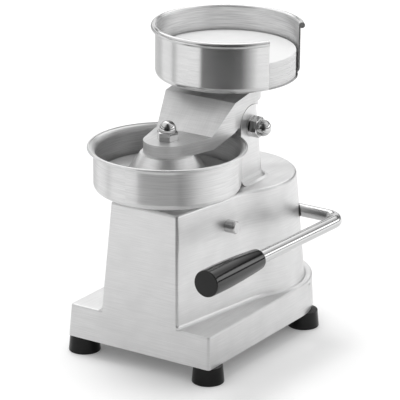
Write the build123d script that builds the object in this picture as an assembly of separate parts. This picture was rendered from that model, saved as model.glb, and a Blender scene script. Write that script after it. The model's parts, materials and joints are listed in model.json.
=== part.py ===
"""Hand-lever burger press: cast stand, fixed moulding bowl, hinged press arm with a
paper bowl, and one side handle that opens the arm and lifts the ejector plate.

Millimetres. While modelling, X = 0 is the plane of symmetry of the stand, -Y is the
front, and Z = 0 is the table. The finished pieces are then moved so that the origin
is the middle of the whole machine's footprint.
"""
from build123d import *
import math
import os

# Stand: plinth, tear-drop tower and hinge post
floor_z = 16.3
plinth_top_z = 47.0
tower_top_z = 152.0
wall = 5.0
front_y_at_floor = -41.0
front_lean = 0.0722
side_flare = 0.157
plinth_half_low = 77.5
plinth_half_high = 76.0
plinth_rear_y = 118.0
tower_half_low = 41.7
tower_half_high = 35.9
tower_rear_r_low = 71.0
tower_rear_r_high = 66.0
tower_rear_y_low = 113.5
tower_rear_y_high = 105.0
tower_blend_r = 75.0
tower_corner_r = 3.0
plinth_corner_r = 3.0
plinth_edge_r = 1.5
tower_edge_r = 2.5
ledge_fillet_r = 3.0
post_fillet_r = 6.0

# Hinge post and its two ears
hinge_y = 88.8
hinge_z = 205.4
ear_r = 20.0
post_half = 37.9
post_front_y = 72.0
post_rear_y_low = 117.0
post_rear_y_high = 104.0
post_corner_r = 12.0
post_shoulder_z = 178.0
post_shoulder_r = 1.0
round_steps = 3
fork_half = 25.6
fork_floor_z = 188.0
post_core_half = 28.0
post_core_front_y = 87.0
post_core_top_z = 182.0
post_core_relief = 2.0
link_passage_half = 7.0

# Lower bowl, fixed on a round seat on the tower
bowl_y = 6.7
bowl_r = 67.0
bowl_wall = 1.5
bowl_corner_r = 6.0
bowl_flare = 5.7
bowl_rim_r = bowl_r + bowl_flare
bowl_floor_z = 161.3
bowl_rim_z = 201.4
bowl_bead_r = 1.9
rim_flare_h = 6.5
bowl_seat_r = 32.0
bowl_screw_circle = 22.0
bowl_screw_count = 3

# Upper bowl for the paper discs
paper_bowl_y = 106.1
paper_bowl_floor_z = 243.8
paper_bowl_rim_z = 292.8
paper_bead_r = 1.5
cutout_from_deg = -23.5
cutout_to_deg = 37.0
paper_edge_gap = 1.5
paper_r = bowl_r - bowl_wall - paper_edge_gap
paper_height = 24.0
paper_screw_circle = 15.0

# Press arm
pad_top_z = 207.0
pad_under_z = 195.0
nose_r = 22.0
arm_crease_y = 34.3
arm_crease_half = 30.0
arm_crease_r = 1.0
arm_vertex_y = 60.2
arm_vertex_z = 233.9
arm_half = 37.9
arm_top_z = 238.0
arm_top_y = 85.0
arm_end_y = 93.0
arm_under_z = 226.5
arm_heel_y = 36.4
arm_knee_y = 60.5
arm_knee_z = 206.0
arm_throat_z = 208.6
arm_boss_r = 9.3
arm_gap_half = 4.0
arm_gap_front = 2.0
arm_gap_roof = 4.0
arm_throat_reach = 11.0
lug_half = 12.0
lug_end_r = 6.5
paper_seat_r = 24.0

# Press plate
press_plate_edge_gap = 4.0
press_plate_r = bowl_r - bowl_wall - press_plate_edge_gap
press_plate_z = 172.5
press_plate_t = 3.0
hub_low_r = 37.5
hub_low_z = 177.0
hub_ledge = 1.0
hub_top_r = 25.0
stud_r = 5.0
stud_foot_z = 181.0

# Ejector
ejector_gap = 0.3
ejector_plate_t = 3.0
ejector_edge_gap = 0.9
ejector_chamfer = 2.5
stem_r = 5.0
stem_bush_r = 6.5
stem_hole_gap = 1.0
rocker_y = 34.5
rocker_z = 126.0
rocker_pin_r = 6.0
pin_chamfer = 1.0
rocker_pin_left_x = -24.0
rocker_pin_right_x = 57.8
rocker_reach = 29.4
rocker_hub_r = 10.0
rocker_washer_r = 9.0
rocker_half = 9.5
cheek_t = 4.0
cheek_nose_r = 5.0
roller_r = 6.0
roller_pin_r = 2.5
eject_crank_r = 20.0
boss_r = 10.0
boss_inner_x = 12.0

# Handle
shaft_y = 143.0
shaft_z = 112.5
bar_r = 6.0
shaft_end_x = 3.5
handle_x = 103.4
handle_bend_r = 14.0
handle_front_y = -88.0
handle_rise_deg = 1.8
grip_length = 84.5
grip_front_r = 12.5
grip_rear_r = 9.6
grip_front_round = 1.2
grip_rear_round = 2.5
grip_bore_depth = 60.0
grip_bore_gap = 0.5
crank_t = 8.0
crank_hub_r = 11.0
crank_end_r = 6.5
press_crank_r = 12.0
press_crank_deg = 5.0
open_angle_deg = 55.0
shaft_boss_r = 11.0
hanger_x0 = 12.0
hanger_x1 = 24.0
outer_boss_x = 36.0
outer_bush_length = 16.0
shaft_bush_t = 2.0
collar_r = 10.0
cross_pin_r = 2.0
cross_pin_inset = 1.0

# Links
link_half_t = 3.0
link_leg_r = 4.0
link_eye_r = 5.5
link_pin_r = 3.0
link_knee_z = 146.0
pin_head_r = 5.0
pin_head_t = 2.0

# Fasteners, feet and fits
hinge_bolt_r = 5.0
hinge_bush_r = 6.5
washer_r = 10.3
washer_t = 2.0
nut_across_flats = 17.0
nut_hex_h = 8.0
nut_corner_cut = 0.1
nut_chamfer = 0.9
nut_collar_h = 2.0
nut_dome_r = 7.8
nut_bore_depth = 13.0
stud_end_gap = 1.0
bolt_head_h = 6.4
foot_inset = 9.5
foot_x = plinth_half_low - foot_inset
foot_front_y = -28.0
foot_rear_y = 138.0
foot_low_r = 14.9
foot_high_r = 13.4
foot_bore_r = 6.2
foot_edge_r = 1.0
foot_bore_relief = 2.0
foot_seat_z = 8.0
foot_boss_r = 6.5
foot_screw_r = 3.0
foot_screw_head_r = 5.6
foot_screw_head_h = 4.0
foot_screw_top_z = 30.0
csk_head_r = 5.0
csk_shank_r = 2.5
csk_length = 10.0
over = 1.0
cutter_reach = 5.0
running_gap = 0.05
thread_gap = 0.05
thrust_gap = 0.3
ear_gap = 0.6
rim_gap = 1.5

# Derived places
half_sweep_deg = open_angle_deg / 2
ejector_plate_z = bowl_floor_z + bowl_wall + ejector_gap
ejector_plate_r = bowl_r - bowl_wall - ejector_edge_gap
deck_under_z = tower_top_z - wall
roller_y = rocker_y - rocker_reach * math.cos(math.radians(half_sweep_deg))
roller_z = rocker_z - rocker_reach * math.sin(math.radians(half_sweep_deg))
stem_foot_z = roller_z + roller_r + ejector_gap
cheek_inner = rocker_half - cheek_t
eject_crank_deg = half_sweep_deg - 90
crank_x1 = shaft_end_x + crank_t
machine_x_low = -foot_x - foot_low_r
machine_x_high = handle_x + grip_front_r
grip_tilt_reach = grip_front_r * math.sin(math.radians(handle_rise_deg))
machine_y_low = handle_front_y - grip_tilt_reach
machine_y_high = plinth_rear_y + plinth_half_low
centre_x = (machine_x_low + machine_x_high) / 2
centre_y = (machine_y_low + machine_y_high) / 2

MIN_Z = (Align.CENTER, Align.CENTER, Align.MIN)


def polar(y, z, radius, angle_deg):
    """Point at a radius and angle from (y, z), measured from +Y towards +Z."""
    angle = math.radians(angle_deg)
    return y + radius * math.cos(angle), z + radius * math.sin(angle)


def cyl_x(radius, x0, x1, y, z):
    return Location((x0, y, z), (0, 90, 0)) * Cylinder(radius, x1 - x0, align=MIN_Z)


def cyl_z(radius, z0, z1, x=0.0, y=0.0):
    return Pos(x, y, z0) * Cylinder(radius, z1 - z0, align=MIN_Z)


def block(x0, x1, y0, y1, z0, z1):
    middle = Pos((x0 + x1) / 2, (y0 + y1) / 2, (z0 + z1) / 2)
    return middle * Box(x1 - x0, y1 - y0, z1 - z0)


def hull_x(circles, x0, x1):
    """Plate square to X whose outline is the tight band round (y, z, r) circles."""
    rings = [(Pos(y, z) * Circle(r)).edge() for y, z, r in circles]
    return extrude(Plane.YZ.offset(x0) * make_hull(rings), amount=x1 - x0)


def profile_x(points, x0, x1):
    """Prism along X from a closed outline of (y, z) corners."""
    face = make_face(Polyline(*points, close=True))
    return extrude(Plane.YZ.offset(x0) * face, amount=x1 - x0)


def turned(points):
    """Solid of revolution about Z from a closed outline of (r, z) corners."""
    return revolve(Plane.XZ * make_face(Polyline(*points, close=True)), Axis.Z)


crank_pin_y, crank_pin_z = polar(shaft_y, shaft_z, press_crank_r, press_crank_deg)
arm_pin_y, arm_pin_z = polar(hinge_y, hinge_z, press_crank_r, press_crank_deg)
eject_pin_y, eject_pin_z = polar(shaft_y, shaft_z, eject_crank_r, eject_crank_deg)
rocker_link_y, rocker_link_z = polar(rocker_y, rocker_z, eject_crank_r, eject_crank_deg)


def front_y(z):
    return front_y_at_floor + (z - floor_z) * front_lean


def tower_share(z):
    return (z - plinth_top_z) / (tower_top_z - plinth_top_z)


def blend(low, high, share):
    return low + (high - low) * share


def tower_outline(z, inset=0.0):
    """Tear-drop plan: narrow straight front, flaring sides, hollow blend, round rear."""
    share = tower_share(z)
    y0 = front_y(z) + inset
    half = blend(tower_half_low, tower_half_high, share) - inset
    rear_r = blend(tower_rear_r_low, tower_rear_r_high, share) - inset
    rear_y = blend(tower_rear_y_low, tower_rear_y_high, share)
    blend_r = tower_blend_r + inset
    flare = math.atan(side_flare)
    side = Vector(math.sin(flare), math.cos(flare))
    normal = Vector(math.cos(flare), -math.sin(flare))
    corner = Vector(half, y0)
    centre = Vector(0, rear_y)
    offset_start = corner + normal * blend_r
    to_line = centre - offset_start
    along = to_line.dot(side)
    across = abs(to_line.dot(normal))
    reach = math.sqrt((rear_r + blend_r) ** 2 - across ** 2)
    hollow = offset_start + side * (along - reach)
    side_end = hollow - normal * blend_r
    rear_start = centre + (hollow - centre).normalized() * rear_r
    hollow_mid = hollow + ((side_end - hollow) + (rear_start - hollow)).normalized() * blend_r
    start_angle = math.atan2(rear_start.Y - rear_y, rear_start.X)
    mid_angle = (start_angle + math.pi / 2) / 2
    rear_mid = centre + Vector(math.cos(mid_angle), math.sin(mid_angle)) * rear_r
    right = [
        Line(corner, side_end),
        ThreePointArc(side_end, hollow_mid, rear_start),
        ThreePointArc(rear_start, rear_mid, Vector(0, rear_y + rear_r)),
    ]
    left = [mirror(edge, Plane.YZ) for edge in right]
    front = Line(Vector(-half, y0), corner)
    face = make_face([front] + right + left)
    corners = face.vertices().sort_by(Axis.Y)[:2]
    return Pos(0, 0, z) * fillet(corners, tower_corner_r)


def plinth_outline(z, inset=0.0):
    """Plan of the plinth: straight front and sides, half-round rear."""
    share = (z - floor_z) / (plinth_top_z - floor_z)
    half = blend(plinth_half_low, plinth_half_high, share) - inset
    y0 = front_y(z) + inset
    diagonal = half * math.sqrt(0.5)
    rear = plinth_rear_y + half
    edges = [
        Line((-half, y0), (half, y0)),
        Line((half, y0), (half, plinth_rear_y)),
        ThreePointArc((half, plinth_rear_y), (diagonal, plinth_rear_y + diagonal), (0, rear)),
        ThreePointArc((0, rear), (-diagonal, plinth_rear_y + diagonal), (-half, plinth_rear_y)),
        Line((-half, plinth_rear_y), (-half, y0)),
    ]
    face = make_face(edges)
    corners = face.vertices().sort_by(Axis.Y)[:2]
    return Pos(0, 0, z) * fillet(corners, plinth_corner_r)


def post_outline(z, inset=0.0):
    """Rounded rectangle of the hinge post; its rear face leans forward."""
    share = (z - deck_under_z) / (hinge_z + ear_r - deck_under_z)
    rear = blend(post_rear_y_low, post_rear_y_high, share) - inset
    front = hinge_y - ear_r
    half = post_half - inset
    sketch = Pos(0, (front + rear) / 2) * Rectangle(2 * half, rear - front)
    sketch = fillet(sketch.vertices().sort_by(Axis.Y)[2:], post_corner_r - inset)
    return Pos(0, 0, z) * sketch


def crowned(outline, lows, top, radius):
    """Loft through the heights of an outline, its top edge rounded in small steps."""
    sections = [outline(z) for z in lows]
    for step in range(round_steps + 1):
        turn = math.radians(90 * step / round_steps)
        sections.append(outline(top - radius * (1 - math.sin(turn)), radius * (1 - math.cos(turn))))
    return loft(sections, ruled=True)


def skirt(outline, low, radius):
    """Hollow quarter-round that spreads from an outline on to the face below it."""
    sections = []
    for step in range(round_steps + 1):
        turn = math.radians(90 * step / round_steps)
        spread = radius * (1 - math.sin(turn))
        sections.append(outline(low + radius * (1 - math.cos(turn)), -spread))
    return loft(sections, ruled=True)


def hinge_post():
    """Post that carries the hinge between two round-headed ears."""
    body = loft([post_outline(deck_under_z), post_outline(hinge_z + ear_r + over)], ruled=True)
    column = block(-post_half, post_half, post_front_y, post_rear_y_low + over, deck_under_z, hinge_z)
    heads = [(hinge_y, hinge_z, ear_r), (post_front_y + post_shoulder_r, post_shoulder_z, post_shoulder_r)]
    body &= column + hull_x(heads, -post_half, post_half)
    root = skirt(post_outline, tower_top_z, post_fillet_r)
    spread = post_half + post_fillet_r
    behind = block(-spread, spread, post_front_y, post_rear_y_low + spread, deck_under_z, hinge_z)
    return body + (root & behind)


def solid_stand():
    """Outer shape of the stand before it is cored and bored."""
    plinth = crowned(plinth_outline, [floor_z], plinth_top_z, plinth_edge_r)
    skirt_top_z = plinth_top_z + ledge_fillet_r
    tower = crowned(tower_outline, [floor_z, skirt_top_z], tower_top_z, tower_edge_r)
    ledge = skirt(tower_outline, plinth_top_z, ledge_fillet_r)
    above = [plinth_outline(z) for z in (plinth_top_z, skirt_top_z)]
    ledge &= loft(above, ruled=True)
    seat = cyl_z(bowl_seat_r, deck_under_z, bowl_floor_z, 0, bowl_y)
    return plinth + tower + ledge + hinge_post() + seat


def base_casting():
    outer = solid_stand()
    cavity = loft([plinth_outline(floor_z, wall), plinth_outline(plinth_top_z - wall, wall)], ruled=True)
    tall = loft([tower_outline(floor_z, wall), tower_outline(deck_under_z, wall)], ruled=True)
    base = outer - cavity - tall
    core_rear = post_rear_y_low - wall - post_core_relief
    core = block(-post_core_half, post_core_half, post_core_front_y, core_rear,
                 deck_under_z - over, post_core_top_z)
    lean = loft([post_outline(deck_under_z - 2 * over, wall), post_outline(hinge_z, wall)], ruled=True)
    core &= lean
    passage = block(-link_passage_half, link_passage_half, post_core_front_y,
                    post_rear_y_high + wall / 2, post_core_top_z - over, fork_floor_z + over)
    base = base - core - passage
    base -= block(-fork_half, fork_half, hinge_y - ear_r - over, post_rear_y_low + over, fork_floor_z,
                  hinge_z + ear_r + over)
    base -= cyl_z(bowl_rim_r + rim_gap, bowl_floor_z, hinge_z + ear_r + over, 0, bowl_y)
    base += bosses(outer)
    return bore_stand(base)


def bosses(outer):
    """Inner bosses for the ejector pin, the handle shaft and the foot screws."""
    reach = plinth_half_low
    right_pin = cyl_x(boss_r, boss_inner_x, reach, rocker_y, rocker_z)
    left_pin = cyl_x(boss_r, -reach, -boss_inner_x, rocker_y, rocker_z)
    shaft = cyl_x(shaft_boss_r, outer_boss_x, reach, shaft_y, shaft_z)
    hanger = cyl_x(shaft_boss_r, hanger_x0, hanger_x1, shaft_y, shaft_z)
    hanger += block(hanger_x0, hanger_x1, shaft_y - shaft_boss_r, shaft_y + shaft_boss_r,
                    shaft_z, deck_under_z + over)
    inner = (right_pin + left_pin + shaft + hanger) & outer
    posts = [cyl_z(foot_boss_r, floor_z, plinth_top_z - wall, x, y) for x, y in foot_places()]
    return inner + posts


def bore_stand(base):
    """Bores for pins, bushes, stem and screws."""
    base -= cyl_x(rocker_pin_r + running_gap, rocker_pin_left_x, plinth_half_low, rocker_y, rocker_z)
    base -= cyl_x(bar_r + shaft_bush_t, hanger_x0 - over, plinth_half_low, shaft_y, shaft_z)
    base -= cyl_x(hinge_bolt_r + running_gap, -post_half - over, post_half + over, hinge_y, hinge_z)
    base -= cyl_z(stem_bush_r, deck_under_z - over, bowl_floor_z + over, 0, bowl_y)
    for x, y in foot_places():
        base -= cyl_z(foot_screw_r + thread_gap, floor_z - over, foot_screw_top_z + foot_bore_relief, x, y)
    for x, y in bowl_screw_places():
        base -= countersunk_screw(x, y, bowl_floor_z + bowl_wall, thread_gap)
    return base


def foot_places():
    return [(side * foot_x, y) for y in (foot_front_y, foot_rear_y) for side in (-1, 1)]


def ring_places(circle, count, y):
    angles = [math.radians(90 + index * 360 / count) for index in range(count)]
    return [(circle * math.cos(a), y + circle * math.sin(a)) for a in angles]


def bowl_screw_places():
    return ring_places(bowl_screw_circle, bowl_screw_count, bowl_y)


def paper_screw_places():
    return ring_places(paper_screw_circle, bowl_screw_count, paper_bowl_y)


def countersunk_screw(x, y, top_z, extra=0.0):
    """Flat-head screw with its head flush at top_z; extra grows it into its own hole."""
    head = csk_head_r + extra
    shank = csk_shank_r + extra
    depth = csk_length + extra
    taper = csk_head_r - csk_shank_r
    points = [(0, 0), (head, 0), (shank, -taper), (shank, -depth), (0, -depth)]
    return Pos(x, y, top_z) * turned(points)


def foot(x, y):
    body = Pos(x, y, 0) * Cone(foot_low_r, foot_high_r, floor_z, align=MIN_Z)
    body = fillet(body.edges().group_by(Axis.Z)[0], foot_edge_r)
    body -= cyl_z(foot_bore_r, -over, foot_seat_z, x, y)
    return body - cyl_z(foot_screw_r + running_gap, 0, floor_z + over, x, y)


def foot_screw(x, y):
    head = cyl_z(foot_screw_head_r, foot_seat_z - foot_screw_head_h, foot_seat_z, x, y)
    return head + cyl_z(foot_screw_r, foot_seat_z, foot_screw_top_z, x, y)


def bowl(floor, rim, bead_r):
    """Spun bowl: flat floor, small corner, upright wall, flared and rolled rim."""
    inner_r = bowl_r - bowl_wall
    inner_corner = bowl_corner_r - bowl_wall
    flare_z = rim - rim_flare_h
    bead_x = bowl_rim_r - bead_r
    bead_z = rim - bead_r
    root = math.sqrt(0.5)
    outer_mid = (bowl_r - bowl_corner_r * (1 - root), floor + bowl_corner_r * (1 - root))
    inner_mid = (inner_r - inner_corner * (1 - root), floor + bowl_wall + inner_corner * (1 - root))
    outline = [
        Line((0, floor), (bowl_r - bowl_corner_r, floor)),
        ThreePointArc((bowl_r - bowl_corner_r, floor), outer_mid, (bowl_r, floor + bowl_corner_r)),
        Line((bowl_r, floor + bowl_corner_r), (bowl_r, flare_z)),
        Line((bowl_r, flare_z), (bead_x, bead_z - bead_r / 2)),
        Line((bead_x, bead_z - bead_r / 2), (bead_x, bead_z + bead_r / 2)),
        Line((bead_x, bead_z + bead_r / 2), (inner_r, flare_z + bowl_wall)),
        Line((inner_r, flare_z + bowl_wall), (inner_r, floor + bowl_corner_r)),
        ThreePointArc((inner_r, floor + bowl_corner_r), inner_mid,
                      (inner_r - inner_corner, floor + bowl_wall)),
        Line((inner_r - inner_corner, floor + bowl_wall), (0, floor + bowl_wall)),
        Line((0, floor + bowl_wall), (0, floor)),
    ]
    section = make_face(outline) + Pos(bead_x, bead_z) * Circle(bead_r)
    return revolve(Plane.XZ * section, Axis.Z)


def lower_bowl():
    body = Pos(0, bowl_y, 0) * bowl(bowl_floor_z, bowl_rim_z, bowl_bead_r)
    body -= cyl_z(stem_r + stem_hole_gap, bowl_floor_z - over, bowl_floor_z + bowl_wall + over, 0, bowl_y)
    for x, y in bowl_screw_places():
        body -= countersunk_screw(x, y, bowl_floor_z + bowl_wall, thread_gap)
    return body


def paper_bowl():
    """Bowl for the paper discs, with its wall cut away for the fingers."""
    body = Pos(0, paper_bowl_y, 0) * bowl(paper_bowl_floor_z, paper_bowl_rim_z, paper_bead_r)
    reach = bowl_rim_r + cutter_reach
    spread = (cutout_to_deg - cutout_from_deg) / 2
    middle = math.radians((cutout_to_deg + cutout_from_deg) / 2)
    half = math.radians(spread)
    far = reach / math.cos(half)
    corners = [(0, 0)]
    corners += [(far * math.cos(middle + t), far * math.sin(middle + t)) for t in (-half, half)]
    wedge = extrude(make_face(Polyline(*corners, close=True)), amount=paper_bowl_rim_z)
    wedge = wedge - cyl_z(bowl_r - bowl_corner_r, -over, paper_bowl_rim_z + over)
    body -= Pos(0, paper_bowl_y, paper_bowl_floor_z + bowl_wall) * wedge
    for x, y in paper_screw_places():
        body -= countersunk_screw(x, y, paper_bowl_floor_z + bowl_wall, thread_gap)
    return body


def paper_stack():
    low = paper_bowl_floor_z + bowl_wall
    corner = bowl_corner_r - bowl_wall
    points = [(0, low), (paper_r - corner, low), (paper_r, low + corner)]
    points += [(paper_r, low + paper_height), (0, low + paper_height)]
    return Pos(0, paper_bowl_y, 0) * turned(points)


def press_arm():
    """Cast arm: round pad in front, steep neck, flat seat for the paper bowl."""
    front = bowl_y - nose_r - over
    rear = arm_end_y + arm_half
    throat_y = hinge_y + arm_throat_reach
    throat_z_step = arm_throat_z - arm_knee_z
    side = [
        (front, pad_under_z), (front, pad_top_z), (arm_crease_y, pad_top_z),
        (arm_vertex_y, arm_vertex_z), (arm_top_y, arm_top_z), (rear, arm_top_z),
        (rear, arm_under_z), (throat_y, arm_under_z), (throat_y, arm_throat_z),
        (throat_z_step + arm_knee_y + arm_gap_front, arm_throat_z),
        (arm_knee_y, arm_knee_z), (arm_heel_y, pad_under_z),
    ]
    body = profile_x(side, -arm_half, arm_half) & arm_plan(front, rear)
    for sign in (-1, 1):
        outer = sign * (arm_half + over)
        x0, x1 = sorted((sign * fork_half - sign * thrust_gap, outer))
        body -= cyl_x(ear_r + ear_gap, x0, x1, hinge_y, hinge_z)
        x0, x1 = sorted((sign * arm_gap_half, sign * (fork_half - thrust_gap)))
        body += cyl_x(arm_boss_r, x0, x1, hinge_y, hinge_z)
        x0, x1 = sorted((sign * arm_gap_half, sign * lug_half))
        lug = [(hinge_y, hinge_z, arm_boss_r), (arm_pin_y, arm_pin_z, lug_end_r)]
        body += hull_x(lug, x0, x1)
    body -= block(-arm_gap_half, arm_gap_half, hinge_y - arm_boss_r - arm_gap_front,
                  hinge_y + ear_r + arm_gap_roof, fork_floor_z, arm_under_z - arm_gap_roof)
    body += cyl_z(paper_seat_r, arm_top_z - over, paper_bowl_floor_z, 0, paper_bowl_y)
    reach = fork_half
    body -= cyl_x(hinge_bush_r, -reach, reach, hinge_y, hinge_z)
    body -= cyl_x(link_pin_r + running_gap / 2, -reach, reach, arm_pin_y, arm_pin_z)
    body -= cyl_z(stud_r + running_gap, pad_under_z - over, pad_top_z + over, 0, bowl_y)
    for x, y in paper_screw_places():
        body -= countersunk_screw(x, y, paper_bowl_floor_z + bowl_wall, thread_gap)
    return body


def arm_plan(front, rear):
    """Plan of the arm: round nose, widening to parallel sides, round rear end."""
    nose = (Pos(0, bowl_y) * Circle(nose_r)).edge()
    crease = [(Pos(side * (arm_crease_half - arm_crease_r), arm_crease_y) * Circle(arm_crease_r)).edge()
              for side in (-1, 1)]
    head = make_hull([nose] + crease)
    corners = [(arm_crease_half, arm_crease_y), (arm_half, arm_vertex_y), (arm_half, arm_end_y)]
    corners += [(-x, y) for x, y in reversed(corners)]
    neck = make_face(Polyline(*corners, close=True))
    tail = Pos(0, arm_end_y) * Circle(arm_half)
    height = arm_top_z - pad_under_z
    return Pos(0, 0, pad_under_z) * extrude(head + neck + tail, amount=height)


def press_plate():
    """Disc with a turned conical hub, bored for its stud."""
    top = press_plate_z + press_plate_t
    points = [
        (0, press_plate_z), (press_plate_r, press_plate_z), (press_plate_r, top),
        (hub_low_r + hub_ledge, top), (hub_low_r + hub_ledge, hub_low_z), (hub_low_r, hub_low_z),
        (hub_top_r, pad_under_z), (0, pad_under_z),
    ]
    body = Pos(0, bowl_y, 0) * turned(points)
    return body - cyl_z(stud_r + thread_gap, stud_foot_z, pad_under_z + over, 0, bowl_y)


def cap_nut():
    """Domed hexagon nut standing on Z = 0, with a blind bore."""
    corner_r = nut_across_flats / 2 / math.cos(math.pi / 6)
    prism = extrude(RegularPolygon(corner_r, 6), amount=nut_hex_h)
    barrel = cyl_z(corner_r - nut_corner_cut, 0, nut_hex_h)
    barrel = chamfer(barrel.edges().filter_by(GeomType.CIRCLE), nut_chamfer)
    nut = prism & barrel
    collar_top = nut_hex_h + nut_collar_h
    nut += cyl_z(nut_dome_r, nut_hex_h - over, collar_top)
    nut += Pos(0, 0, collar_top) * Sphere(nut_dome_r)
    return nut - cyl_z(stud_r + thread_gap, -over, nut_bore_depth)


def plate_cap_nut():
    return Pos(0, bowl_y, pad_top_z) * cap_nut()


def plate_stud():
    return cyl_z(stud_r, stud_foot_z, pad_top_z + nut_bore_depth - stud_end_gap, 0, bowl_y)


def hinge_cap_nut():
    seat_x = post_half + washer_t
    return Location((seat_x, hinge_y, hinge_z), (0, 90, 0)) * cap_nut()


def hinge_bolt():
    head_x = -post_half - washer_t
    end_x = post_half + washer_t + nut_bore_depth - stud_end_gap
    shank = cyl_x(hinge_bolt_r, head_x, end_x, hinge_y, hinge_z)
    corner_r = nut_across_flats / 2 / math.cos(math.pi / 6)
    head = extrude(RegularPolygon(corner_r, 6), amount=bolt_head_h)
    return shank + Location((head_x - bolt_head_h, hinge_y, hinge_z), (0, 90, 0)) * head


def hinge_washer(sign):
    x0, x1 = sorted((sign * post_half, sign * (post_half + washer_t)))
    return tube_x(washer_r, hinge_bolt_r + running_gap, x0, x1, hinge_y, hinge_z)


def tube_x(outer_r, inner_r, x0, x1, y, z):
    return cyl_x(outer_r, x0, x1, y, z) - cyl_x(inner_r, x0 - over, x1 + over, y, z)


def hinge_bush(sign):
    x0, x1 = sorted((sign * arm_gap_half, sign * (fork_half - thrust_gap)))
    return tube_x(hinge_bush_r, hinge_bolt_r + running_gap, x0, x1, hinge_y, hinge_z)


def handle_path():
    rise = math.tan(math.radians(handle_rise_deg))
    bar_end_y = handle_front_y + grip_length - grip_bore_depth
    start = (shaft_end_x, shaft_y, shaft_z)
    corner = (handle_x, shaft_y, shaft_z)
    end = (handle_x, bar_end_y, shaft_z + (shaft_y - bar_end_y) * rise)
    return FilletPolyline(start, corner, end, radius=handle_bend_r)


def handle_bar():
    """Round bar bent once: the shaft across the tower and the lever beside it."""
    path = handle_path()
    section = Plane(origin=path @ 0, z_dir=path % 0) * Circle(bar_r)
    return sweep(section, path) - cross_pin()


def handle_grip():
    """Tapered grip pushed on the bar, thicker at its flat front end."""
    rise = math.radians(handle_rise_deg)
    front_z = shaft_z + (shaft_y - handle_front_y) * math.tan(rise)
    frame = Plane(origin=(handle_x, handle_front_y, front_z), z_dir=(0, math.cos(rise), -math.sin(rise)))
    body = Cone(grip_front_r, grip_rear_r, grip_length, align=MIN_Z)
    body = fillet(body.edges().group_by(Axis.Z)[-1], grip_rear_round)
    body = fillet(body.edges().group_by(Axis.Z)[0], grip_front_round)
    bore_start = grip_length - grip_bore_depth
    body -= cyl_z(bar_r + running_gap, bore_start - grip_bore_gap, grip_length + over)
    return frame * body


def cross_pin():
    x = (shaft_end_x + crank_x1) / 2
    half = crank_hub_r - cross_pin_inset
    return cyl_z(cross_pin_r, shaft_z - half, shaft_z + half, x, shaft_y)


def handle_crank():
    """Two-armed crank on the inner end of the shaft."""
    ends = [
        (shaft_y, shaft_z, crank_hub_r),
        (crank_pin_y, crank_pin_z, crank_end_r),
        (eject_pin_y, eject_pin_z, crank_end_r),
    ]
    body = hull_x(ends, shaft_end_x, crank_x1)
    body -= cyl_x(bar_r + running_gap, shaft_end_x - over, crank_x1 + over, shaft_y, shaft_z)
    for y, z in ((crank_pin_y, crank_pin_z), (eject_pin_y, eject_pin_z)):
        body -= cyl_x(link_pin_r, shaft_end_x - over, crank_x1 + over, y, z)
    return body - cross_pin()


def crank_pin(y, z):
    head_x = -link_half_t - thrust_gap
    pin = cyl_x(link_pin_r, head_x, crank_x1, y, z)
    return pin + cyl_x(pin_head_r, head_x - pin_head_t, head_x, y, z)


def shaft_collar():
    x0 = hanger_x1 + thrust_gap
    x1 = outer_boss_x - thrust_gap
    return tube_x(collar_r, bar_r + running_gap, x0, x1, shaft_y, shaft_z)


def shaft_bush(x0, x1):
    return tube_x(bar_r + shaft_bush_t, bar_r + running_gap, x0, x1, shaft_y, shaft_z)


def link(start, end, middle=None):
    """Flat bar link with an eye at each end and, where asked, one bend."""
    stops = [start, end] if middle is None else [start, middle, end]
    body = None
    for (y0, z0), (y1, z1) in zip(stops, stops[1:]):
        leg = hull_x([(y0, z0, link_leg_r), (y1, z1, link_leg_r)], -link_half_t, link_half_t)
        body = leg if body is None else body + leg
    for y, z in (start, end):
        body += cyl_x(link_eye_r, -link_half_t, link_half_t, y, z)
    for y, z in (start, end):
        body -= cyl_x(link_pin_r + running_gap, -link_half_t - over, link_half_t + over, y, z)
    return body


def press_link():
    knee = (arm_pin_y, link_knee_z)
    return link((arm_pin_y, arm_pin_z), (crank_pin_y, crank_pin_z), knee)


def ejector_link():
    return link((eject_pin_y, eject_pin_z), (rocker_link_y, rocker_link_z))


def link_pivot_pin():
    return cyl_x(link_pin_r, -lug_half, lug_half, arm_pin_y, arm_pin_z)


def ejector_rocker():
    """Rocker on the side pin: a forked nose for the roller and a forked tail."""
    body = cyl_x(rocker_hub_r, -rocker_half, rocker_half, rocker_y, rocker_z)
    for sign in (-1, 1):
        x0, x1 = sorted((sign * cheek_inner, sign * rocker_half))
        hub = (rocker_y, rocker_z, rocker_hub_r)
        body += hull_x([hub, (roller_y, roller_z, cheek_nose_r)], x0, x1)
        body += hull_x([hub, (rocker_link_y, rocker_link_z, link_eye_r)], x0, x1)
    far = rocker_half + over
    body -= cyl_x(rocker_pin_r + running_gap, -far, far, rocker_y, rocker_z)
    body -= cyl_x(roller_pin_r, -far, far, roller_y, roller_z)
    body -= cyl_x(link_pin_r, -far, far, rocker_link_y, rocker_link_z)
    return body


def rocker_link_spacers(sign):
    x0, x1 = sorted((sign * (link_half_t + running_gap), sign * (cheek_inner - running_gap)))
    return tube_x(link_eye_r, link_pin_r + running_gap, x0, x1, rocker_link_y, rocker_link_z)


def ejector_roller():
    half = cheek_inner - thrust_gap
    return tube_x(roller_r, roller_pin_r + running_gap, -half, half, roller_y, roller_z)


def rocker_pin():
    pin = cyl_x(rocker_pin_r, rocker_pin_left_x, rocker_pin_right_x, rocker_y, rocker_z)
    return chamfer(pin.edges().group_by(Axis.X)[-1], pin_chamfer)


def rocker_washer(sign):
    x0, x1 = sorted((sign * (rocker_half + running_gap), sign * (boss_inner_x - running_gap)))
    return tube_x(rocker_washer_r, rocker_pin_r + running_gap, x0, x1, rocker_y, rocker_z)


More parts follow.
